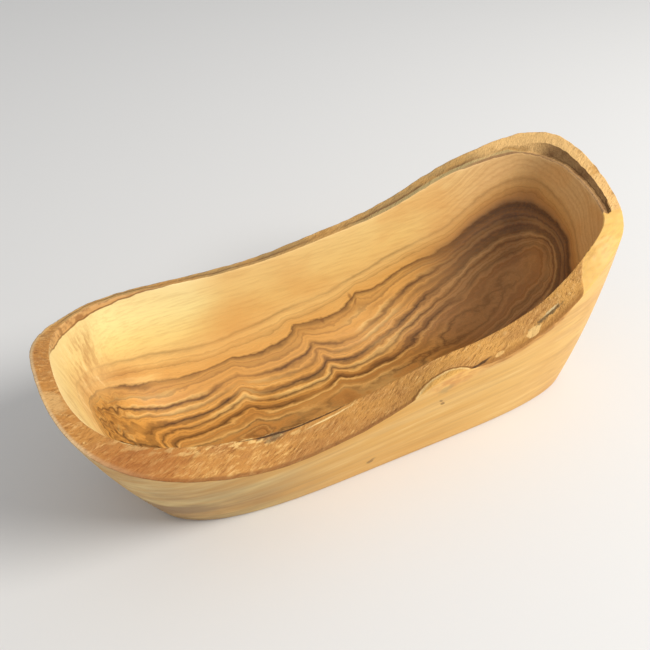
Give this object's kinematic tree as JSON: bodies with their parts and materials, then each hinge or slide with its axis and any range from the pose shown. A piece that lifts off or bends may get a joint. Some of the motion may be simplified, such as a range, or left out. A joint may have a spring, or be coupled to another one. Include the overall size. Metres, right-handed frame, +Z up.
{
  "type": "serving bowl",
  "caption": "Long oval dish carved from one piece of olive wood, with flared walls, a flat foot and the log's natural surface left as its saddle-shaped rim.",
  "frame": {"origin": "centre of the bowl's box in plan, on the plane that the foot stands on", "axes": "+X along the bowl towards its taller end, +Y across it towards the side with the higher rim, +Z up"},
  "size_m": [0.18, 0.0724, 0.0666],
  "materials": {
    "wood": "oiled olive wood, smooth inside and out, with a rough brown natural rim"
  },
  "bodies": {
    "root": {"bowl": "wood"}
  },
  "joints": []
}
